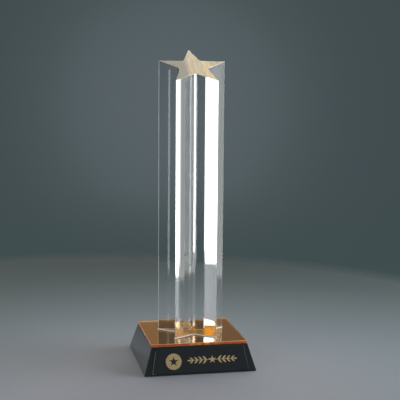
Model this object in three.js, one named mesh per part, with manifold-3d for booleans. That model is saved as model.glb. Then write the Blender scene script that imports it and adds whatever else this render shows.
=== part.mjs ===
// Star column trophy: a solid clear acrylic star prism with a slant-cut top, bonded to an amber
// mirror plate on a tapered, weighted box fabricated from gloss black acrylic sheet.
// Millimetres, +Z up. The origin is the centre of the footprint, on the surface the trophy stands on.
// -Y is the front, where the nameplate is.

import * as THREE from "three";
import { mergeVertices } from "three/addons/utils/BufferGeometryUtils.js";
import Module from "manifold-3d";

const wasm = await Module();
wasm.setup();

// ---------------------------------------------------------------- driving dimensions

// Tapered box
const BASE_FOOT_HALF = 58; // half width at the walls' lower edge
const BASE_TOP_HALF = 50; // half width at the walls' upper edge
const WALL_BOTTOM_Z = 0.5; // the felt holds the walls this far off the table
const WALL_TOP_Z = 27;
const WALL_T = 5; // black sheet
const MITRE_GAP = 0.12; // cement line in each mitre
const DECK_T = 5;
const FIT_GAP = 0.15; // cement line round the deck

// Bottom closure
const FELT_T = 1.5;
const FELT_HALF = 50.5;
const FELT_CORNER_R = 4;
const COVER_T = 3;
const COVER_HALF = 51.25;
const BLOCK_INNER = 35; // the corner blocks' inner faces
const SCREW_AT = 41; // +-X and +-Y of the four cover screws
const SCREW_R = 1.5; // M3
const SCREW_LENGTH = 10;
const HEAD_R = 2.85;
const HEAD_H = 1.7;

// Ballast
const BALLAST_HALF = 34;
const BALLAST_T = 8;
const BALLAST_TAPE_T = 0.5;

// Amber mirror plate
const PLATE_HALF = 50;
const TAPE_T = 0.5;
const BACKING_T = 0.25;
const BACKING_GAP = 0.03; // keeps the coat and the sheet from sharing a plane
const SHEET_T = 2.75;

// Star column
const CEMENT_T = 0.25;
const STAR_R = 37.2; // to the points, before their tips are flattened
const STAR_INNER = 0.4; // inner radius over STAR_R
const TIP_FLAT = 0.5; // polished flat along each point
const NOTCH_FLAT = 2.1; // flat along the bottom of each notch
const STAR_X = 0.75;
const STAR_Y = -2.5; // the star's outline, not its centre, is centred on the plate
const STAR_TURN = THREE.MathUtils.degToRad(-3);
const STAR_CENTRE_H = 310.6; // height of the slanted face over the star's centre
const TOP_SLANT = THREE.MathUtils.degToRad(27);

// Nameplate on the front wall
const NAME_FOOT_HALF = 50;
const NAME_TOP_HALF = 45.6;
const NAME_FROM = 1; // up the slope from the wall's lower edge
const NAME_TO = 27.1;
const NAME_T = 0.8;
const NAME_TAPE_T = 0.15;
const SLIP = 0.05; // air between faces that lie on the slope
const MARK_T = 0.15;
const ROSETTE_AT = [-27.9, 13.2];
const ROSETTE_R = 8.3;
const LAUREL_AT = [12, 13.6];
const LAUREL_HALF = 26;

// ---------------------------------------------------------------- levels

const COVER_Z = FELT_T;
const COVER_TOP_Z = COVER_Z + COVER_T;
const DECK_Z = WALL_TOP_Z - DECK_T;
const BACKING_Z = WALL_TOP_Z + TAPE_T;
const SHEET_Z = BACKING_Z + BACKING_T;
const SHEET_TOP_Z = SHEET_Z + SHEET_T;
const COLUMN_Z = SHEET_TOP_Z + CEMENT_T;

const WALL_RISE = WALL_TOP_Z - WALL_BOTTOM_Z;
const TAPER = Math.atan2(BASE_FOOT_HALF - BASE_TOP_HALF, WALL_RISE);
const outerHalf = (z) =>
  BASE_TOP_HALF + (WALL_TOP_Z - z) * Math.tan(TAPER);
const innerHalf = (z) => outerHalf(z) - WALL_T / Math.cos(TAPER);

// ---------------------------------------------------------------- solids

// A closed three.js geometry as a manifold solid.
function solid(geometry) {
  const bare = (geometry.index ? geometry.toNonIndexed() : geometry).clone();
  for (const name of Object.keys(bare.attributes))
    if (name !== "position") bare.deleteAttribute(name);
  const merged = mergeVertices(bare, 1e-4);
  return new wasm.Manifold(
    new wasm.Mesh({
      numProp: 3,
      vertProperties: merged.attributes.position.array,
      triVerts: new Uint32Array(merged.index.array),
    }),
  );
}

// A manifold solid as a three.js geometry.
function geometryOf(made) {
  const mesh = made.getMesh();
  const count = mesh.vertProperties.length / mesh.numProp;
  const points = new Float32Array(count * 3);
  for (let i = 0; i < count; i++)
    points.set(
      mesh.vertProperties.subarray(i * mesh.numProp, i * mesh.numProp + 3),
      i * 3,
    );
  const geometry = new THREE.BufferGeometry();
  geometry.setAttribute("position", new THREE.BufferAttribute(points, 3));
  geometry.setIndex(new THREE.BufferAttribute(new Uint32Array(mesh.triVerts), 1));
  const flat = geometry.toNonIndexed();
  flat.computeVertexNormals();
  return flat;
}

const extrude = (shape, depth, curveSegments = 12) =>
  new THREE.ExtrudeGeometry(shape, { depth, bevelEnabled: false, curveSegments });

// A square frustum standing on z0, with the half widths at both ends.
function frustum(z0, z1, half0, half1) {
  const turned = new THREE.CylinderGeometry(
    half1 * Math.SQRT2,
    half0 * Math.SQRT2,
    z1 - z0,
    4,
    1,
  );
  turned.rotateY(Math.PI / 4);
  turned.rotateX(Math.PI / 2);
  turned.translate(0, 0, (z0 + z1) / 2);
  return turned;
}

function box(halfX, halfY, z0, z1, x = 0, y = 0) {
  const made = new THREE.BoxGeometry(2 * halfX, 2 * halfY, z1 - z0);
  made.translate(x, y, (z0 + z1) / 2);
  return made;
}

// A solid of revolution about +Z from [radius, z] points that start and end on the axis.
function turnedZ(points, segments = 32) {
  const made = new THREE.LatheGeometry(
    points.map(([r, z]) => new THREE.Vector2(r, z)),
    segments,
  );
  made.rotateX(Math.PI / 2);
  return made;
}

function roundedSquare(half, r) {
  const s = new THREE.Shape();
  s.moveTo(-half + r, -half);
  s.lineTo(half - r, -half);
  s.absarc(half - r, -half + r, r, -Math.PI / 2, 0, false);
  s.lineTo(half, half - r);
  s.absarc(half - r, half - r, r, 0, Math.PI / 2, false);
  s.lineTo(-half + r, half);
  s.absarc(-half + r, half - r, r, Math.PI / 2, Math.PI, false);
  s.lineTo(-half, -half + r);
  s.absarc(-half + r, -half + r, r, Math.PI, 1.5 * Math.PI, false);
  return s;
}

// A five-pointed star with its first point towards +Y. It is the regular pentagram unless its
// inner radius is given.
function starPoints(
  r,
  inner = (r * Math.cos((2 * Math.PI) / 5)) / Math.cos(Math.PI / 5),
) {
  return Array.from({ length: 10 }, (_, i) => {
    const a = Math.PI / 2 + (i * Math.PI) / 5;
    const q = i % 2 ? inner : r;
    return new THREE.Vector2(q * Math.cos(a), q * Math.sin(a));
  });
}

// The column's section, with a narrow flat across each point and each notch.
function columnSection(r = STAR_R) {
  const sharp = starPoints(r, STAR_R * STAR_INNER - (STAR_R - r));
  return sharp.flatMap((corner, i) => {
    const before = sharp[(i + 9) % 10].clone().sub(corner).normalize();
    const after = sharp[(i + 1) % 10].clone().sub(corner).normalize();
    const half = before.angleTo(after) / 2;
    const back = (i % 2 ? NOTCH_FLAT : TIP_FLAT) / 2 / Math.sin(half);
    return [before, after].map((way) => corner.clone().addScaledVector(way, back));
  });
}

// ---------------------------------------------------------------- materials

const finish = (color, roughness, metalness, more = {}) =>
  new THREE.MeshStandardMaterial({ color, roughness, metalness, ...more });
const clearAcrylic = finish(0xf2f5f6, 0.04, 0, { transparent: true, opacity: 0.3 });
const amberAcrylic = finish(0xd8822e, 0.05, 0, { transparent: true, opacity: 0.6 });
const mirrorFilm = finish(0xd9b36a, 0.08, 1);
const blackAcrylic = finish(0x0d1113, 0.08, 0);
const blackLacquer = finish(0x101417, 0.12, 0.2);
const goldInlay = finish(0xd3b568, 0.3, 1);
const tapeFoam = finish(0xd9d9d4, 0.8, 0);
const felt = finish(0x17181a, 0.95, 0);
const zincSteel = finish(0xa9adb0, 0.45, 0.9);
const ballastSteel = finish(0x5c5f62, 0.6, 0.8);

const trophy = new THREE.Group();
function part(name, geometry, material, parent = trophy) {
  const mesh = new THREE.Mesh(geometry, material);
  mesh.name = name;
  parent.add(mesh);
  return mesh;
}

// ---------------------------------------------------------------- tapered box

// Four mitred walls cut from one tapered shell.
{
  const reach = 0.5;
  const shell = solid(
    frustum(WALL_BOTTOM_Z, WALL_TOP_Z, outerHalf(WALL_BOTTOM_Z), BASE_TOP_HALF),
  ).subtract(
    solid(
      frustum(
        WALL_BOTTOM_Z - reach,
        WALL_TOP_Z + reach,
        innerHalf(WALL_BOTTOM_Z - reach),
        innerHalf(WALL_TOP_Z + reach),
      ),
    ),
  );
  // A quarter of the plan, with its sides half a cement line back from the diagonals.
  const far = 90;
  const back = MITRE_GAP * Math.SQRT1_2;
  const quarter = new THREE.Shape([
    new THREE.Vector2(0, -back),
    new THREE.Vector2(-far, -far - back),
    new THREE.Vector2(far, -far - back),
  ]);
  const walls = ["front_wall", "right_wall", "rear_wall", "left_wall"];
  walls.forEach((name, i) => {
    const wedge = extrude(quarter, 40);
    wedge.translate(0, 0, -5);
    wedge.rotateZ((i * Math.PI) / 2);
    part(name, geometryOf(shell.intersect(solid(wedge))), blackAcrylic);
  });
}

// The deck closes the top, between the walls and flush with them.
part(
  "top_deck",
  frustum(
    DECK_Z,
    WALL_TOP_Z,
    innerHalf(DECK_Z) - FIT_GAP,
    innerHalf(WALL_TOP_Z) - FIT_GAP,
  ),
  blackAcrylic,
);

// Corner blocks are cemented into the corners under the deck, and are tapped for the cover screws.
{
  const z0 = COVER_TOP_Z;
  const z1 = DECK_Z;
  const core = solid(
    frustum(z0, z1, innerHalf(z0) - FIT_GAP, innerHalf(z1) - FIT_GAP),
  );
  const corner = (sx, sy) =>
    core.intersect(
      solid(
        box(30, 30, z0 - 1, z1 + 1, sx * (BLOCK_INNER + 30), sy * (BLOCK_INNER + 30)),
      ),
    );
  const tapped = (sx, sy) => {
    const hole = turnedZ([
      [0, z0 - 1],
      [SCREW_R + 0.06, z0 - 1],
      [SCREW_R + 0.06, z0 + 8.6],
      [0, z0 + 9.4],
    ]);
    hole.translate(sx * SCREW_AT, sy * SCREW_AT, 0);
    return corner(sx, sy).subtract(solid(hole));
  };
  const blocks = {
    front_left: [-1, -1],
    front_right: [1, -1],
    rear_right: [1, 1],
    rear_left: [-1, 1],
  };
  for (const [where, [sx, sy]] of Object.entries(blocks)) {
    part(`corner_block_${where}`, geometryOf(tapped(sx, sy)), blackAcrylic);

    // Countersunk cross-recess machine screw, head down.
    const head = turnedZ([
      [0, COVER_Z + 0.1],
      [HEAD_R, COVER_Z + 0.1],
      [HEAD_R, COVER_Z + 0.3],
      [SCREW_R, COVER_Z + 0.1 + HEAD_H],
      [SCREW_R, COVER_Z + 0.1 + SCREW_LENGTH - 0.8],
      [SCREW_R - 0.6, COVER_Z + 0.1 + SCREW_LENGTH],
      [0, COVER_Z + 0.1 + SCREW_LENGTH],
    ]);
    const recess = solid(box(1.6, 0.35, COVER_Z - 1, COVER_Z + 1.2)).add(
      solid(box(0.35, 1.6, COVER_Z - 1, COVER_Z + 1.2)),
    );
    const screw = part(
      `cover_screw_${where}`,
      geometryOf(solid(head).subtract(recess)),
      zincSteel,
    );
    screw.position.set(sx * SCREW_AT, sy * SCREW_AT, 0);
  }
}

// The bottom cover drops in between the walls, and its screws are countersunk from below.
{
  let cover = solid(box(COVER_HALF, COVER_HALF, COVER_Z, COVER_TOP_Z));
  for (const sx of [-1, 1])
    for (const sy of [-1, 1]) {
      const hole = turnedZ([
        [0, COVER_Z - 1],
        [HEAD_R + 0.25, COVER_Z - 1],
        [HEAD_R + 0.25, COVER_Z + 0.3],
        [SCREW_R + 0.25, COVER_Z + 0.3 + HEAD_H],
        [SCREW_R + 0.25, COVER_TOP_Z + 1],
        [0, COVER_TOP_Z + 1],
      ]);
      hole.translate(sx * SCREW_AT, sy * SCREW_AT, 0);
      cover = cover.subtract(solid(hole));
    }
  part("bottom_cover", geometryOf(cover), blackAcrylic);
}

// Felt pad on the cover, which is what the trophy stands on.
part("felt_pad", extrude(roundedSquare(FELT_HALF, FELT_CORNER_R), FELT_T), felt);

// Steel ballast taped to the inside of the cover.
{
  const tapeZ = COVER_TOP_Z;
  const steelZ = tapeZ + BALLAST_TAPE_T;
  part(
    "ballast_tape",
    box(BALLAST_HALF - 4, BALLAST_HALF - 4, tapeZ, steelZ),
    tapeFoam,
  );
  const steel = extrude(roundedSquare(BALLAST_HALF, 2), BALLAST_T, 4);
  steel.translate(0, 0, steelZ);
  part("ballast_plate", steel, ballastSteel);
}

// ---------------------------------------------------------------- amber mirror plate

// Three strips of double-sided tape hold the plate on the deck.
for (const [name, x] of [
  ["plate_tape_left", -32],
  ["plate_tape_middle", 0],
  ["plate_tape_right", 32],
])
  part(name, box(9, 42, WALL_TOP_Z, BACKING_Z, x), tapeFoam);

// The plate's metallised and lacquered back, and the amber sheet over it.
part(
  "mirror_backing",
  box(PLATE_HALF, PLATE_HALF, BACKING_Z, SHEET_Z - BACKING_GAP),
  mirrorFilm,
);
part("amber_sheet", box(PLATE_HALF, PLATE_HALF, SHEET_Z, SHEET_TOP_Z), amberAcrylic);

// ---------------------------------------------------------------- star column

{
  const column = new THREE.Group();
  column.position.set(STAR_X, STAR_Y, 0);
  column.rotation.z = STAR_TURN;
  trophy.add(column);

  const film = extrude(new THREE.Shape(columnSection(STAR_R - 0.15)), CEMENT_T - 0.02);
  film.translate(0, 0, SHEET_TOP_Z + 0.01);
  part("column_cement", film, clearAcrylic, column);

  const bar = extrude(new THREE.Shape(columnSection()), 340 - COLUMN_Z);
  bar.translate(0, 0, COLUMN_Z);
  const above = new THREE.BoxGeometry(140, 140, 100);
  above.translate(0, 0, 50);
  above.rotateX(TOP_SLANT);
  above.translate(0, 0, STAR_CENTRE_H);
  part(
    "star_column",
    geometryOf(solid(bar).subtract(solid(above))),
    clearAcrylic,
    column,
  );
}

// ---------------------------------------------------------------- nameplate

// A group whose XY plane is the front wall's outer face: x to the right, y up the slope from
// the wall's lower edge, z out of the wall.
{
  const face = new THREE.Group();
  face.position.set(0, -BASE_FOOT_HALF, WALL_BOTTOM_Z);
  face.rotation.x = Math.PI / 2 - TAPER;
  trophy.add(face);

  // A trapezium from y0 to y1 up the slope, inset from the nameplate's outline.
  const plateShape = (inset) => {
    const half = (y) =>
      NAME_FOOT_HALF +
      ((NAME_TOP_HALF - NAME_FOOT_HALF) * (y - NAME_FROM)) / (NAME_TO - NAME_FROM);
    const y0 = NAME_FROM + inset;
    const y1 = NAME_TO - inset;
    return new THREE.Shape([
      new THREE.Vector2(-half(y0) + inset, y0),
      new THREE.Vector2(half(y0) - inset, y0),
      new THREE.Vector2(half(y1) - inset, y1),
      new THREE.Vector2(-half(y1) + inset, y1),
    ]);
  };

  const tape = extrude(plateShape(1.5), NAME_TAPE_T);
  tape.translate(0, 0, SLIP);
  part("nameplate_tape", tape, tapeFoam, face);

  // Bevelled edges: the plate narrows by the bevel towards its face.
  const bevel = 0.3;
  const name = new THREE.ExtrudeGeometry(plateShape(bevel), {
    depth: NAME_T - bevel,
    bevelEnabled: true,
    bevelThickness: bevel,
    bevelSize: bevel,
    bevelSegments: 1,
  });
  name.translate(0, 0, 2 * SLIP + NAME_TAPE_T);
  const keep = new THREE.BoxGeometry(200, 100, 2);
  keep.translate(0, 15, 1 + 2 * SLIP + NAME_TAPE_T);
  part(
    "nameplate",
    geometryOf(solid(name).intersect(solid(keep))),
    blackLacquer,
    face,
  );

  const markZ = 2 * SLIP + NAME_TAPE_T + NAME_T + SLIP;

  // Scalloped rosette with a star-shaped window.
  {
    const lobes = 18;
    const outline = Array.from({ length: lobes * 8 }, (_, i) => {
      const a = (i / (lobes * 8)) * 2 * Math.PI;
      const r = ROSETTE_R - 0.55 * (1 - Math.abs(Math.cos((lobes * a) / 2)));
      return new THREE.Vector2(r * Math.cos(a), r * Math.sin(a));
    });
    const rosette = new THREE.Shape(outline);
    rosette.holes.push(new THREE.Path(starPoints(ROSETTE_R * 0.62).reverse()));
    const made = extrude(rosette, MARK_T);
    made.translate(ROSETTE_AT[0], ROSETTE_AT[1], markZ);
    part("gold_rosette", made, goldInlay, face);
  }

  // Laurel band: a small star between two leafy sprigs, on one stem.
  {
    const leaf = (length, width) => {
      const s = new THREE.Shape();
      s.moveTo(-0.4, 0);
      s.quadraticCurveTo(length * 0.4, width, length, 0);
      s.quadraticCurveTo(length * 0.4, -width, -0.4, 0);
      return s;
    };
    const stem = box(LAUREL_HALF - 2, 0.3, 0, MARK_T);
    let band = solid(stem);
    band = band.add(solid(extrude(new THREE.Shape(starPoints(4.3)), MARK_T)));
    const put = (geometry, x, y, a) => {
      geometry.rotateZ(a);
      geometry.translate(x, y, 0);
      band = band.add(solid(geometry));
    };
    const pairs = 4;
    for (const side of [-1, 1]) {
      for (let i = 0; i < pairs; i++) {
        const x = 6 + i * 4.55;
        const grown = 1 - 0.05 * i;
        for (const up of [-1, 1]) {
          const made = extrude(leaf(5.6 * grown, 1.9 * grown), MARK_T, 6);
          const a = THREE.MathUtils.degToRad(46 - 2 * i) * up;
          put(made, side * x, 0, side > 0 ? a : Math.PI - a);
        }
      }
      put(extrude(leaf(4.2, 1.6), MARK_T, 6), side * (LAUREL_HALF - 4), 0, side > 0 ? 0 : Math.PI);
    }
    const made = geometryOf(band);
    made.translate(LAUREL_AT[0], LAUREL_AT[1], markZ);
    part("gold_laurel_band", made, goldInlay, face);
  }
}

export default trophy;
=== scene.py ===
import math
import bmesh
import bpy
from mathutils import Matrix, Vector

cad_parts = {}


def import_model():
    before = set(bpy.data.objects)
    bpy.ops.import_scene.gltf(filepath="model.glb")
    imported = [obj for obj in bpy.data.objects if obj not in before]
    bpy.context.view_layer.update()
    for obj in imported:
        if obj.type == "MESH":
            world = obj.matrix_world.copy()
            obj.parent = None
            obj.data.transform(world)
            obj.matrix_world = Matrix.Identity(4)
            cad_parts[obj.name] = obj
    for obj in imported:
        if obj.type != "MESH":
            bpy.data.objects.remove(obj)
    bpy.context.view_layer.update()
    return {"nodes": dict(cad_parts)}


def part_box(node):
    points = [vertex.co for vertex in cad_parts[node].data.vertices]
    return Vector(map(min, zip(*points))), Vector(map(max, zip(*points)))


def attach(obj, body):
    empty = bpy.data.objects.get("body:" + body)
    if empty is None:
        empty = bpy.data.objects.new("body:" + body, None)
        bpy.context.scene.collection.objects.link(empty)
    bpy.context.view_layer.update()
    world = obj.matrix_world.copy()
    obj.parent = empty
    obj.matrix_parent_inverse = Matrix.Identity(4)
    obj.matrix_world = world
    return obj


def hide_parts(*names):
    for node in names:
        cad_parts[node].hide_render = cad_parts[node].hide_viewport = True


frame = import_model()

ROOT = "root"
nodes = frame["nodes"]
mm = 0.001

# ------------------------------------------------------------------ camera

CAM_AT = Vector((-0.18433, -0.93315, 0.27905))
forward = Vector((0.2020, 0.9729, -0.1128)).normalized()
right = forward.cross(Vector((0, 0, 1))).normalized()
up = right.cross(forward)
roll = math.radians(0.426)
r_axis = math.cos(roll) * right + math.sin(roll) * up
u_axis = -math.sin(roll) * right + math.cos(roll) * up
cam_data = bpy.data.cameras.new("camera")
cam_data.lens = 81.68
cam_data.sensor_width = 36.0
cam_data.clip_start = 0.01
cam_data.clip_end = 50
cam = bpy.data.objects.new("camera", cam_data)
bpy.context.scene.collection.objects.link(cam)
cam.matrix_world = Matrix(
    (
        (r_axis.x, u_axis.x, -forward.x, CAM_AT.x),
        (r_axis.y, u_axis.y, -forward.y, CAM_AT.y),
        (r_axis.z, u_axis.z, -forward.z, CAM_AT.z),
        (0, 0, 0, 1),
    )
)
bpy.context.scene.camera = cam

scene = bpy.context.scene
scene.view_settings.view_transform = "Standard"
scene.view_settings.look = "None"
scene.cycles.max_bounces = 28
scene.cycles.transmission_bounces = 28
scene.cycles.glossy_bounces = 16
scene.cycles.transparent_max_bounces = 16
scene.cycles.sample_clamp_indirect = 12.0

# ------------------------------------------------------------------ node helpers


class Tree:
    """A small wrapper that makes nodes and links them by socket."""

    def __init__(self, tree):
        self.t = tree
        self.t.nodes.clear()

    def node(self, kind, **props):
        n = self.t.nodes.new(kind)
        for k, v in props.items():
            setattr(n, k, v)
        return n

    def put(self, socket, value):
        if isinstance(value, bpy.types.NodeSocket):
            self.t.links.new(value, socket)
        else:
            socket.default_value = value

    def math(self, op, a, b=0.0, c=0.0, clamp=False):
        n = self.node("ShaderNodeMath", operation=op, use_clamp=clamp)
        for i, v in enumerate((a, b, c)):
            self.put(n.inputs[i], v)
        return n.outputs[0]

    def mix(self, factor, a, b):
        n = self.node("ShaderNodeMix", data_type="RGBA")
        self.put(n.inputs[0], factor)
        self.put(n.inputs[6], a)
        self.put(n.inputs[7], b)
        return n.outputs[2]

    def lerp(self, factor, a, b):
        n = self.node("ShaderNodeMix", data_type="FLOAT")
        self.put(n.inputs[0], factor)
        self.put(n.inputs[2], a)
        self.put(n.inputs[3], b)
        return n.outputs[0]

    def ramp(self, value, stops, interpolation="LINEAR"):
        n = self.node("ShaderNodeValToRGB")
        n.color_ramp.interpolation = interpolation
        e = n.color_ramp.elements
        while len(e) < len(stops):
            e.new(0.5)
        for el, (p, c) in zip(e, stops):
            el.position = p
            el.color = c if len(c) == 4 else (*c, 1)
        self.put(n.inputs[0], value)
        return n.outputs[0]

    def remap(self, value, a, b, c=0.0, d=1.0):
        n = self.node("ShaderNodeMapRange")
        for i, v in enumerate((value, a, b, c, d)):
            self.put(n.inputs[i], v)
        return n.outputs[0]

    def position(self):
        return self.node("ShaderNodeNewGeometry").outputs["Position"]

    def normal(self):
        return self.node("ShaderNodeNewGeometry").outputs["True Normal"]

    def split(self, vector):
        n = self.node("ShaderNodeSeparateXYZ")
        self.put(n.inputs[0], vector)
        return n.outputs

    def scaled(self, scale):
        """Object coordinates, scaled."""
        at = self.node("ShaderNodeTexCoord").outputs["Object"]
        n = self.node("ShaderNodeMapping")
        n.inputs["Scale"].default_value = scale
        self.put(n.inputs["Vector"], at)
        return n.outputs[0]

    def noise(self, vector, scale=1.0, detail=2.0, rough=0.5, distort=0.0):
        n = self.node("ShaderNodeTexNoise")
        self.put(n.inputs["Vector"], vector)
        n.inputs["Scale"].default_value = scale
        n.inputs["Detail"].default_value = detail
        n.inputs["Roughness"].default_value = rough
        n.inputs["Distortion"].default_value = distort
        return n.outputs[0]

    def voronoi(self, vector, scale=1.0, feature="F1", out="Distance"):
        n = self.node("ShaderNodeTexVoronoi", feature=feature)
        self.put(n.inputs["Vector"], vector)
        n.inputs["Scale"].default_value = scale
        return n.outputs[out]

    def bump(self, height, strength, distance):
        n = self.node("ShaderNodeBump")
        n.inputs["Strength"].default_value = strength
        n.inputs["Distance"].default_value = distance
        self.put(n.inputs["Height"], height)
        return n.outputs[0]


def material(name):
    m = bpy.data.materials.new(name)
    m.use_nodes = True
    t = Tree(m.node_tree)
    out = t.node("ShaderNodeOutputMaterial")
    p = t.node("ShaderNodeBsdfPrincipled")
    t.t.links.new(p.outputs[0], out.inputs["Surface"])
    return m, t, p, out


# ------------------------------------------------------------------ materials

STAR_AT = (0.75 * mm, -2.5 * mm)
MIRROR_TONE = (0.82, 0.53, 0.20, 1)
FOOT_TONE = (0.34, 0.135, 0.03, 1)
# Painted amber on the cement film under the column:
PAINTED_FILM_AMBER = (0.82, 0.43, 0.12, 1)
FILM_METAL = 0.4
# Painted glow on the amber sheet's edges; the last tone is a painted reflection of the column's foot:
PAINTED_EDGE_GLOW = ((0.60, 0.085, 0.035, 1), (0.74, 0.15, 0.045, 1), (1.0, 0.56, 0.14, 1))
# Painted glow on the amber sheet's top bevels:
PAINTED_RIM_GLOW = (0.95, 0.50, 0.22, 1)
FAR_TONE = (1.0, 0.88, 0.64, 1)
EDGE_BODY = 0.7
# Painted amber light and its painted shade on the column's slant-cut top:
PAINTED_GLOW_RANGE = (0.32, 0.92)
PAINTED_TOP_LIGHT = ((1.0, 0.85, 0.60, 1), (1.0, 0.76, 0.36, 1))
PAINTED_TOP_SHADE = (0.32, 0.26, 0.17, 1)
# Painted highlight on the bevels round the column's top:
PAINTED_RIM_HIGHLIGHT = (1.0, 0.95, 0.88, 1)


def clear_acrylic():
    m, t, p, out = material("clear_acrylic")
    xyz = t.split(t.position())
    nz = t.math("ABSOLUTE", t.split(t.normal())[2])
    # The foot is in optical contact with the plate, so it shows the plate's gold mirror.
    foot = t.math("MULTIPLY", t.math("LESS_THAN", xyz[2], 30.78 * mm), t.math("GREATER_THAN", nz, 0.5))
    # Painted light: the slant-cut top gets a diffuse amber colour, in streaks that follow the column's facets,
    # standing in for the amber light that the column guides up from the plate.
    top = t.math("MULTIPLY", t.math("GREATER_THAN", xyz[2], 0.28), t.math("GREATER_THAN", nz, 0.6))
    streaks = t.noise(t.scaled((260, 5, 5)), 1.0, 2.0, 0.6)
    broad = t.noise(t.scaled((60, 8, 8)), 1.0, 1.0, 0.5)
    # Painted light and shade across the column: dark at the left tip, brightest right of centre.
    painted_light_across = t.ramp(t.remap(xyz[0], -36 * mm, 38 * mm), [(0.0, (0.05, 0.05, 0.05)), (0.36, (0.14, 0.14, 0.14)), (0.44, (0.7, 0.7, 0.7)), (0.56, (1, 1, 1)), (0.75, (0.85, 0.85, 0.85)), (1.0, (0.35, 0.35, 0.35))])
    painted_top_glow = t.math("MULTIPLY", t.remap(streaks, 0.3, 0.7, PAINTED_GLOW_RANGE[0], PAINTED_GLOW_RANGE[1]), painted_light_across)
    # Painted highlight: the fine bevels on the rim of the top get a bright cream diffuse colour, stronger right
    # of centre.
    leans = t.math("MULTIPLY", t.math("GREATER_THAN", nz, 0.1), t.math("LESS_THAN", nz, 0.86))
    rim = t.math("MULTIPLY", t.math("GREATER_THAN", xyz[2], 0.28), leans)
    # Painted highlight: the left tip alone gets a 40 % share of white diffuse colour, so it shows as a bright
    # line.
    painted_tip_highlight = t.math("LESS_THAN", xyz[0], STAR_AT[0] - 33.5 * mm)
    body = t.math("ADD", t.math("MULTIPLY", top, painted_top_glow), t.math("MULTIPLY", rim, t.lerp(painted_light_across, 0.35, 0.85)))
    body = t.math("MAXIMUM", body, t.math("MULTIPLY", painted_tip_highlight, 0.4))
    t.put(p.inputs["Transmission Weight"], t.math("SUBTRACT", 1.0, body))
    gold = t.mix(t.remap(broad, 0.3, 0.7), PAINTED_TOP_LIGHT[0], PAINTED_TOP_LIGHT[1])
    gold = t.mix(painted_light_across, PAINTED_TOP_SHADE, gold)
    sides = t.mix(top, (0.985, 0.99, 0.99, 1), gold)
    sides = t.mix(rim, sides, PAINTED_RIM_HIGHLIGHT)
    t.put(p.inputs["Base Color"], t.mix(foot, sides, FOOT_TONE))
    t.put(p.inputs["Metallic"], foot)
    # Flame-polished sides with faint draw lines, and slightly frosted tips.
    reach = t.math(
        "SQRT",
        t.math(
            "ADD",
            t.math("POWER", t.math("SUBTRACT", xyz[0], STAR_AT[0]), 2.0),
            t.math("POWER", t.math("SUBTRACT", xyz[1], STAR_AT[1]), 2.0),
        ),
    )
    tips = t.math("GREATER_THAN", reach, 36.3 * mm)
    lines = t.noise(t.scaled((700, 700, 3.0)), 1.0, 2.0, 0.5)
    rough = t.remap(lines, 0.62, 0.8, 0.0, 0.02)
    t.put(p.inputs["Roughness"], t.math("MAXIMUM", rough, t.math("MULTIPLY", tips, 0.3)))
    p.inputs["IOR"].default_value = 1.491
    return m


def amber_acrylic():
    m, t, p, out = material("amber_acrylic")
    xyz = t.split(t.position())
    nz = t.split(t.normal())[2]
    side = t.math("ABSOLUTE", nz)
    under = t.math("MULTIPLY", t.math("LESS_THAN", xyz[2], 27.8 * mm), t.math("GREATER_THAN", side, 0.5))
    edge = t.math("LESS_THAN", side, 0.3)
    # Painted glow: the bevels along the sheet's top edges get a diffuse orange colour.
    rim = t.math("MULTIPLY", t.math("GREATER_THAN", xyz[2], 29.9 * mm), t.math("LESS_THAN", side, 0.96))
    rim = t.math("MULTIPLY", rim, t.math("GREATER_THAN", side, 0.3))
    # The polished edges get a diffuse red-orange colour varied by the saw marks: partly the amber's own colour,
    # partly a painted glow standing in for the light the sheet gathers at its edges.
    saw = t.noise(t.scaled((420, 420, 60)), 1.0, 3.0, 0.6)
    blobs = t.noise(t.scaled((150, 150, 30)), 1.0, 2.0, 0.5)
    off = t.math("MINIMUM", t.math("ABSOLUTE", xyz[0]), t.math("ABSOLUTE", xyz[1]))
    close = t.remap(off, 8 * mm, 26 * mm, 1.0, 0.0)
    # Painted reflection: yellow blobs near the column stand in for the column's bright foot reflected in the
    # edges.
    warm = t.math("MULTIPLY", close, t.remap(blobs, 0.42, 0.6, 0.0, 1.0), clamp=True)
    glow = t.mix(saw, PAINTED_EDGE_GLOW[0], PAINTED_EDGE_GLOW[1])
    glow = t.mix(warm, glow, PAINTED_EDGE_GLOW[2])
    # The rear and right edges are less polished, and pass the light behind them on.
    far = t.math("MAXIMUM", t.math("GREATER_THAN", xyz[0], 49.4 * mm), t.math("GREATER_THAN", xyz[1], 49.4 * mm))
    far = t.math("MULTIPLY", far, t.math("LESS_THAN", side, 0.96))
    glow = t.mix(far, glow, FAR_TONE)
    body = t.math("MULTIPLY", t.math("MAXIMUM", edge, rim), t.math("SUBTRACT", EDGE_BODY, t.math("MULTIPLY", far, EDGE_BODY)))
    t.put(p.inputs["Transmission Weight"], t.math("SUBTRACT", 1.0, body))
    t.put(p.inputs["Roughness"], t.math("MAXIMUM", t.math("MULTIPLY", far, 0.5), t.math("MULTIPLY", edge, t.math("MULTIPLY_ADD", saw, 0.2, 0.1))))
    face = t.mix(under, (0.99, 0.97, 0.93, 1), MIRROR_TONE)
    rim = t.math("MULTIPLY", rim, t.math("SUBTRACT", 1.0, far))
    t.put(p.inputs["Base Color"], t.mix(rim, t.mix(t.math("MAXIMUM", edge, far), face, glow), PAINTED_RIM_GLOW))
    t.put(p.inputs["Metallic"], under)
    t.put(p.inputs["Normal"], t.bump(saw, 0.05, 0.0001))
    p.inputs["IOR"].default_value = 1.491
    v = t.node("ShaderNodeVolumeAbsorption")
    v.inputs["Color"].default_value = (0.97, 0.66, 0.2, 1)
    v.inputs["Density"].default_value = 22.0
    t.t.links.new(v.outputs[0], out.inputs["Volume"])
    return m


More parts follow.
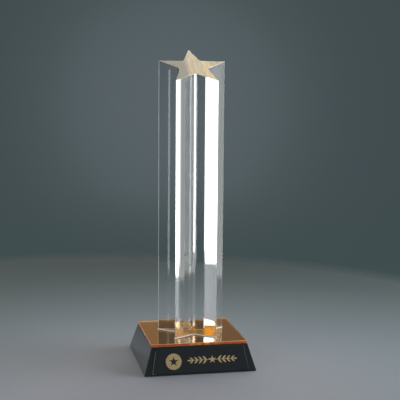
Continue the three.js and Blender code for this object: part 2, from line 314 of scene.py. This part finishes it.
def black_acrylic():
    m, t, p, out = material("black_acrylic")
    smears = t.noise(t.scaled((28, 28, 28)), 1.0, 4.0, 0.6, 0.4)
    scratch = t.noise(t.scaled((30, 30, 2400)), 1.0, 2.0, 0.6)
    dust = t.math("GREATER_THAN", t.noise(t.scaled((1500, 1500, 1500)), 1.0, 1.0), 0.74)
    t.put(
        p.inputs["Base Color"],
        t.mix(t.math("MULTIPLY", dust, 0.35), (0.020, 0.027, 0.032, 1), (0.05, 0.055, 0.06, 1)),
    )
    rough = t.remap(smears, 0.3, 0.75, 0.012, 0.045)
    t.put(p.inputs["Roughness"], rough)
    t.put(p.inputs["Normal"], t.bump(t.math("MULTIPLY", scratch, 0.4), 0.02, 0.0001))
    p.inputs["IOR"].default_value = 1.49
    p.inputs["Coat Weight"].default_value = 0.15
    p.inputs["Coat Roughness"].default_value = 0.02
    return m


def black_lacquer():
    m, t, p, out = material("black_lacquer")
    xyz = t.split(t.position())
    speck = t.noise(t.scaled((500, 500, 500)), 1.0, 3.0, 0.6)
    smears = t.noise(t.scaled((40, 40, 40)), 1.0, 3.0, 0.6, 0.5)
    # The bevel is cut through the lacquer to bright metal. The face's own normal is
    # (0, -0.957, 0.289), and the bevels lean away from it.
    n = t.node("ShaderNodeVectorMath", operation="DOT_PRODUCT")
    t.put(n.inputs[0], t.normal())
    n.inputs[1].default_value = FACE_NORMAL
    bevel = t.math("LESS_THAN", n.outputs["Value"], 0.95)
    t.put(
        p.inputs["Base Color"],
        t.mix(
            bevel,
            t.mix(speck, (0.019, 0.0255, 0.031, 1), (0.022, 0.0295, 0.036, 1)),
            # Painted shade: the bevel at the left end (x < -46 mm) gets a dark colour instead of the bright
            # metal of the others.
            t.mix(t.math("LESS_THAN", xyz[0], -46 * mm), (0.055, 0.052, 0.042, 1), (0.62, 0.56, 0.40, 1)),
        ),
    )
    t.put(p.inputs["Metallic"], bevel)
    t.put(p.inputs["Roughness"], t.math("MAXIMUM", t.math("MULTIPLY", bevel, 0.35), t.remap(smears, 0.3, 0.7, 0.09, 0.16)))
    t.put(p.inputs["Normal"], t.bump(speck, 0.02, 0.0001))
    p.inputs["IOR"].default_value = 1.5
    return m


def gold_inlay():
    m, t, p, out = material("gold_inlay")
    grain = t.noise(t.scaled((2600, 500, 500)), 1.0, 3.0, 0.6)
    tone = t.noise(t.scaled((220, 220, 220)), 1.0, 2.0, 0.5)
    t.put(
        p.inputs["Base Color"],
        t.mix(tone, (0.84, 0.64, 0.30, 1), (0.97, 0.80, 0.46, 1)),
    )
    t.put(p.inputs["Roughness"], t.remap(grain, 0.3, 0.7, 0.34, 0.5))
    t.put(p.inputs["Normal"], t.bump(grain, 0.15, 0.00005))
    p.inputs["Metallic"].default_value = 0.85
    return m


def mirror_film():
    m, t, p, out = material("mirror_film")
    cloud = t.noise(t.scaled((60, 60, 60)), 1.0, 3.0, 0.5)
    t.put(p.inputs["Base Color"], t.mix(cloud, (0.55, 0.40, 0.2, 1), (0.68, 0.52, 0.28, 1)))
    t.put(p.inputs["Roughness"], t.remap(cloud, 0.3, 0.7, 0.06, 0.14))
    p.inputs["Metallic"].default_value = 1.0
    return m


def cement():
    m, t, p, out = material("cement_painted_glow")
    xyz = t.split(t.position())
    nz = t.math("ABSOLUTE", t.split(t.normal())[2])
    bubbles = t.voronoi(t.scaled((700, 700, 700)), 1.0)
    # Under the column the film is painted amber, part metal, standing in for the amber plate seen through it;
    # the bead is an opaque cream diffuse, a painted glow that shows as a bright line.
    film = t.math("MULTIPLY", t.math("GREATER_THAN", nz, 0.98), t.math("GREATER_THAN", xyz[2], 30.7 * mm))
    t.put(p.inputs["Base Color"], t.mix(film, (1.0, 0.95, 0.86, 1), PAINTED_FILM_AMBER))
    t.put(p.inputs["Metallic"], t.math("MULTIPLY", film, FILM_METAL))
    t.put(p.inputs["Roughness"], t.math("MAXIMUM", t.math("MULTIPLY", film, 0.06), t.math("MULTIPLY", t.math("SUBTRACT", 1.0, film), t.remap(bubbles, 0.0, 0.5, 0.35, 0.1))))
    p.inputs["Specular Tint"].default_value = (0.3, 0.17, 0.05, 1)
    p.inputs["Specular IOR Level"].default_value = 0.0
    p.inputs["IOR"].default_value = 1.49
    return m


def tape():
    m, t, p, out = material("foam_tape")
    cells = t.voronoi(t.scaled((1100, 1100, 1100)), 1.0)
    t.put(p.inputs["Base Color"], t.mix(cells, (0.30, 0.30, 0.28, 1), (0.42, 0.42, 0.40, 1)))
    t.put(p.inputs["Normal"], t.bump(cells, 0.4, 0.0002))
    p.inputs["Roughness"].default_value = 0.85
    return m


def felt():
    m, t, p, out = material("felt")
    fibres = t.noise(t.scaled((900, 900, 900)), 1.0, 6.0, 0.75, 1.5)
    tufts = t.noise(t.scaled((140, 140, 140)), 1.0, 3.0, 0.6)
    t.put(p.inputs["Base Color"], t.mix(fibres, (0.008, 0.009, 0.010, 1), (0.035, 0.037, 0.04, 1)))
    t.put(p.inputs["Normal"], t.bump(t.math("ADD", fibres, tufts), 0.8, 0.0004))
    p.inputs["Roughness"].default_value = 0.95
    p.inputs["Sheen Weight"].default_value = 0.3
    p.inputs["Sheen Roughness"].default_value = 0.5
    return m


def zinc_steel():
    m, t, p, out = material("zinc_steel")
    turned = t.noise(t.scaled((300, 300, 6000)), 1.0, 2.0, 0.5)
    bloom = t.noise(t.scaled((400, 400, 400)), 1.0, 3.0, 0.6)
    t.put(p.inputs["Base Color"], t.mix(bloom, (0.50, 0.52, 0.55, 1), (0.66, 0.67, 0.68, 1)))
    t.put(p.inputs["Roughness"], t.remap(bloom, 0.3, 0.7, 0.3, 0.45))
    t.put(p.inputs["Normal"], t.bump(turned, 0.2, 0.00005))
    p.inputs["Metallic"].default_value = 1.0
    return m


def ballast_steel():
    m, t, p, out = material("ballast_steel")
    scale = t.noise(t.scaled((120, 120, 120)), 1.0, 5.0, 0.65)
    t.put(p.inputs["Base Color"], t.mix(scale, (0.10, 0.10, 0.105, 1), (0.26, 0.25, 0.24, 1)))
    t.put(p.inputs["Roughness"], t.remap(scale, 0.3, 0.7, 0.45, 0.7))
    t.put(p.inputs["Normal"], t.bump(scale, 0.2, 0.0002))
    p.inputs["Metallic"].default_value = 0.9
    return m


lo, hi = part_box("front_wall")
rise = hi.z - lo.z
run = -50 * mm - lo.y
FACE_NORMAL = Vector((0, -rise, -run)).normalized()
FACE_NORMAL = Vector((0, -rise, run)).normalized() if run > 0 else FACE_NORMAL
FACE_NORMAL = tuple(FACE_NORMAL)

ACRYLIC = clear_acrylic()
AMBER = amber_acrylic()
BLACK = black_acrylic()
LACQUER = black_lacquer()
GOLD = gold_inlay()
MIRROR = mirror_film()
CEMENT = cement()
TAPE = tape()
FELT = felt()
ZINC = zinc_steel()
BALLAST = ballast_steel()

WEAR = {
    "star_column": ACRYLIC,
    "column_cement": CEMENT,
    "amber_sheet": AMBER,
    "mirror_backing": MIRROR,
    "nameplate": LACQUER,
    "gold_rosette": GOLD,
    "gold_laurel_band": GOLD,
    "felt_pad": FELT,
    "ballast_plate": BALLAST,
}
for name, o in nodes.items():
    if name in WEAR:
        m = WEAR[name]
    elif "tape" in name:
        m = TAPE
    elif "screw" in name:
        m = ZINC
    else:
        m = BLACK
    o.data.materials.clear()
    o.data.materials.append(m)


def polished(node, name, width, share=None, segments=2, sharp=12):
    """The CAD solid as one clean mesh with flat faces and fine bevels, in its place.

    share(a, b) gives the part of width that the edge from a to b gets.
    """
    source = nodes[node]
    plain = bpy.data.meshes.new(name)
    plain.from_pydata(
        [source.matrix_world @ v.co for v in source.data.vertices],
        [],
        [list(p.vertices) for p in source.data.polygons],
    )
    bm = bmesh.new()
    bm.from_mesh(plain)
    bmesh.ops.remove_doubles(bm, verts=bm.verts, dist=1e-6)
    bmesh.ops.dissolve_limit(
        bm, angle_limit=math.radians(0.5), verts=list(bm.verts), edges=list(bm.edges)
    )
    bmesh.ops.recalc_face_normals(bm, faces=list(bm.faces))
    layer = bm.edges.layers.float.new("bevel_weight_edge")
    for e in bm.edges:
        if len(e.link_faces) == 2 and e.calc_face_angle() > math.radians(sharp):
            a, b = (v.co for v in e.verts)
            e[layer] = share(a, b) if share else 1.0
    for f in bm.faces:
        f.smooth = False
    bm.to_mesh(plain)
    bm.free()
    o = bpy.data.objects.new(name, plain)
    scene.collection.objects.link(o)
    for m in source.data.materials:
        plain.materials.append(m)
    b = o.modifiers.new("bevel", "BEVEL")
    b.width = width
    b.segments = segments
    b.limit_method = "WEIGHT"
    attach(o, ROOT)
    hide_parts(node)
    return o


def star_share(a, b):
    """Wide on the rim of the star's top, fine down its tips and finest in its notches."""
    if min(a.z, b.z) > 0.29:
        return 1.0
    if max(a.z, b.z) < 0.031:
        return 0.1
    at = (a + b) / 2
    return 0.2 if math.hypot(at.x - STAR_AT[0], at.y - STAR_AT[1]) > 30 * mm else 0.03


def cement_bead(spread, height):
    """The cement film under the column, with the fine bead it leaves around the foot."""
    lo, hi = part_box("column_cement")
    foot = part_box("star_column")[0].z
    source = nodes["star_column"]
    at = [source.matrix_world @ v.co for v in source.data.vertices]
    rim = {(round(v.x, 6), round(v.y, 6)) for v in at if v.z < foot + 0.01 * mm}
    rim = [Vector(v) for v in rim]
    middle = Vector(STAR_AT)
    rim.sort(key=lambda v: math.atan2(v.y - middle.y, v.x - middle.x))
    n = len(rim)

    def outline(by):
        shifted = []
        for i in range(n):
            a, b, c = rim[i - 1], rim[i], rim[(i + 1) % n]
            u = Vector((b.y - a.y, a.x - b.x)).normalized()
            w = Vector((c.y - b.y, b.x - c.x)).normalized()
            half = (u + w).normalized()
            shifted.append(b + half * (by / max(half.dot(u), 0.5)))
        return shifted

    mesh = bpy.data.meshes.new("cement_bead")
    bm = bmesh.new()
    rings = [
        (-0.15 * mm, lo.z),
        (spread, lo.z),
        (spread * 0.55, lo.z + height * 0.35),
        (0.02 * mm, lo.z + height),
        (0.02 * mm, foot + 0.06 * mm),
        (-0.15 * mm, foot + 0.05 * mm),
    ]
    made = []
    for by, z in rings:
        made.append([bm.verts.new((v.x, v.y, z)) for v in outline(by)])
    for k in range(len(made) - 1):
        for i in range(n):
            j = (i + 1) % n
            bm.faces.new((made[k][i], made[k][j], made[k + 1][j], made[k + 1][i]))
    bm.faces.new(made[0][::-1])
    bm.faces.new(made[-1])
    bmesh.ops.recalc_face_normals(bm, faces=list(bm.faces))
    bm.to_mesh(mesh)
    bm.free()
    o = bpy.data.objects.new("cement_bead", mesh)
    scene.collection.objects.link(o)
    mesh.materials.append(CEMENT)
    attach(o, ROOT)
    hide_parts("column_cement")
    return o


cement_bead(0.8 * mm, 0.9 * mm)
polished("star_column", "polished_column", 0.9 * mm, star_share)
polished("amber_sheet", "polished_amber_sheet", 0.45 * mm)
for name in ("front_wall", "left_wall", "right_wall", "rear_wall"):
    polished(name, "polished_" + name, 0.25 * mm)
polished("top_deck", "polished_top_deck", 0.2 * mm)

# ------------------------------------------------------------------ stage

FLOOR_R = 0.60
FLOOR_AT = (-0.09, 0.095)
FLOOR_TONES = [
    (0.0, (0.254, 0.272, 0.326)),
    (0.16, (0.250, 0.280, 0.336)),
    (0.33, (0.170, 0.216, 0.262)),
    (0.43, (0.126, 0.168, 0.204)),
    (0.55, (0.085, 0.121, 0.143)),
    (0.68, (0.050, 0.081, 0.096)),
    (0.83, (0.033, 0.062, 0.072)),
    (1.0, (0.030, 0.057, 0.067)),
]


def floor():
    mesh = bpy.data.meshes.new("floor")
    bm = bmesh.new()
    rings = 24
    around = 96
    centre = bm.verts.new((0, 0, 0))
    last = None
    for i in range(1, rings + 1):
        r = FLOOR_R * i / rings
        ring = [
            bm.verts.new((r * math.cos(2 * math.pi * k / around), r * math.sin(2 * math.pi * k / around), 0))
            for k in range(around)
        ]
        for k in range(around):
            if last is None:
                bm.faces.new((centre, ring[k], ring[(k + 1) % around]))
            else:
                bm.faces.new((last[k], ring[k], ring[(k + 1) % around], last[(k + 1) % around]))
        last = ring
    bm.to_mesh(mesh)
    bm.free()
    o = bpy.data.objects.new("floor", mesh)
    scene.collection.objects.link(o)
    o.location = (FLOOR_AT[0], FLOOR_AT[1], -0.0001)
    m, t, p, out = material("floor")
    xyz = t.split(t.position())

    def away(x, y):
        return t.math(
            "SQRT",
            t.math(
                "ADD",
                t.math("POWER", t.math("SUBTRACT", xyz[0], x), 2.0),
                t.math("POWER", t.math("SUBTRACT", xyz[1], y), 2.0),
            ),
        )

    d = away(-0.05, -0.11)
    grain = t.noise(t.scaled((400, 400, 400)), 1.0, 2.0, 0.5)
    # The paper sweep falls off into shade away from the trophy.
    tone = t.ramp(
        t.math("DIVIDE", d, 0.8),
        FLOOR_TONES,
    )
    t.put(p.inputs["Base Color"], t.mix(grain, tone, t.mix(0.06, tone, (1, 1, 1, 1))))
    p.inputs["Roughness"].default_value = 0.55
    p.inputs["Specular IOR Level"].default_value = 0.3
    clear = t.node("ShaderNodeBsdfTransparent")
    mixed = t.node("ShaderNodeMixShader")
    t.put(mixed.inputs[0], t.remap(away(*FLOOR_AT), FLOOR_R - 0.07, FLOOR_R - 0.004, 0.0, 1.0))
    t.t.links.new(p.outputs[0], mixed.inputs[1])
    t.t.links.new(clear.outputs[0], mixed.inputs[2])
    t.t.links.new(mixed.outputs[0], out.inputs["Surface"])
    o.data.materials.append(m)
    return o


floor()


WORLD = {
    "far": (0.034, 0.054, 0.056, 1),
    "near": (0.096, 0.122, 0.133, 1),
    "side": (0.125, 0.150, 0.165, 1),
    "high": (0.31, 0.235, 0.155, 1),
    "high_aside": (0.105, 0.10, 0.09, 1),
    "crown": (0.22, 0.22, 0.22, 1),
    "low": (0.052, 0.076, 0.078, 1),
}


def world():
    w = bpy.data.worlds.new("studio")
    scene.world = w
    w.use_nodes = True
    t = Tree(w.node_tree)
    out = t.node("ShaderNodeOutputWorld")
    bg = t.node("ShaderNodeBackground")
    t.t.links.new(bg.outputs[0], out.inputs[0])
    way = t.node("ShaderNodeTexCoord").outputs["Generated"]

    def pool(azimuth, height, reach, stops):
        """A soft pool of light on the backdrop: 1 at its centre, 0 at reach degrees."""
        a, e = math.radians(azimuth), math.radians(height)
        at = Vector((math.sin(a) * math.cos(e), math.cos(a) * math.cos(e), math.sin(e)))
        dot = t.node("ShaderNodeVectorMath", operation="DOT_PRODUCT")
        t.put(dot.inputs[0], way)
        dot.inputs[1].default_value = at
        off = t.math("MULTIPLY", t.math("ARCCOSINE", dot.outputs["Value"]), 180 / math.pi)
        return t.ramp(t.math("DIVIDE", off, reach), stops, "B_SPLINE")

    behind = pool(
        10, -0.5, 40.0,
        [
            (0.0, (1, 1, 1)), (0.08, (0.97, 0.97, 0.97)), (0.15, (0.76, 0.76, 0.76)), (0.20, (0.44, 0.44, 0.44)),
            (0.28, (0.17, 0.17, 0.17)), (0.42, (0.09, 0.09, 0.09)), (1.0, (0.05, 0.05, 0.05)),
        ],
    )
    aside = pool(34, -2, 10.0, [(0.0, (1, 1, 1)), (0.5, (0.75, 0.75, 0.75)), (1.0, (0, 0, 0))])
    colour = t.mix(behind, WORLD["far"], WORLD["near"])
    colour = t.mix(aside, colour, WORLD["side"])
    z = t.split(way)[2]
    # Lighter above the view, where the mirror plate looks; darker below, at the sweep.
    high = t.remap(z, 0.115, 0.19, 0.0, 1.0)
    warm = pool(2, 15, 18.0, [(0.0, (1, 1, 1)), (0.35, (0.85, 0.85, 0.85)), (0.75, (0.15, 0.15, 0.15)), (1.0, (0, 0, 0))])
    colour = t.mix(high, colour, t.mix(warm, WORLD["high_aside"], WORLD["high"]))
    crown = t.remap(z, 0.45, 0.9, 0.0, 1.0)
    colour = t.mix(crown, colour, WORLD["crown"])
    low = t.remap(z, -0.20, -0.10, 1.0, 0.0)
    colour = t.mix(low, colour, WORLD["low"])
    t.put(bg.inputs[0], colour)
    bg.inputs[1].default_value = 1.0


world()


def panel(name, azimuth, distance, width, z0, z1, radiance, colour=(1, 1, 1), tilt=0.0):
    """A softbox that stands at an azimuth from +Y towards +X and faces the trophy."""
    a = math.radians(azimuth)
    h = z1 - z0
    data = bpy.data.lights.new(name, "AREA")
    data.shape = "RECTANGLE"
    data.size = width
    data.size_y = h
    data.color = colour
    data.energy = radiance * math.pi * width * h
    o = bpy.data.objects.new(name, data)
    scene.collection.objects.link(o)
    at = Vector((distance * math.sin(a), distance * math.cos(a), (z0 + z1) / 2))
    back = Vector((math.sin(a), math.cos(a), 0))  # an area light shines along its own -Z
    side = Vector((0, 0, 1)).cross(back)
    o.matrix_world = Matrix(
        (
            (side.x, 0, back.x, at.x),
            (side.y, 0, back.y, at.y),
            (0, 1, 0, at.z),
            (0, 0, 0, 1),
        )
    )
    o.visible_camera = False
    return o


def overhead(name, at, target, width, depth, radiance, colour=(1, 1, 1)):
    data = bpy.data.lights.new(name, "AREA")
    data.shape = "RECTANGLE"
    data.size = width
    data.size_y = depth
    data.color = colour
    data.energy = radiance * math.pi * width * depth
    o = bpy.data.objects.new(name, data)
    scene.collection.objects.link(o)
    o.location = at
    o.rotation_euler = (Vector(target) - Vector(at)).to_track_quat("-Z", "Y").to_euler()
    o.visible_camera = False
    return o


def arc(name, a0, a1, distance, z0, z1, radiance, colour=(1, 1, 1)):
    """A softbox that spans azimuths a0 to a1 as seen from the trophy."""
    half = math.radians(a1 - a0) / 2
    panel(name, (a0 + a1) / 2, distance, 2 * distance * math.tan(half), z0, z1, radiance, colour)


arc("right_softbox", 73, 128, 0.95, -0.25, 1.0, 4.5)
arc("right_feather", 42, 58, 1.0, -0.25, 0.8, 0.7)
arc("left_softbox", -62, -22.3, 0.95, -0.25, 0.8, 1.2)
arc("key_softbox", -134, -119, 1.0, -0.25, 0.7, 4.6)
overhead("top_softbox", (0.25, 0.75, 1.6), (0, 0, 0.1), 1.4, 1.2, 2.25, (1.0, 0.88, 0.70))
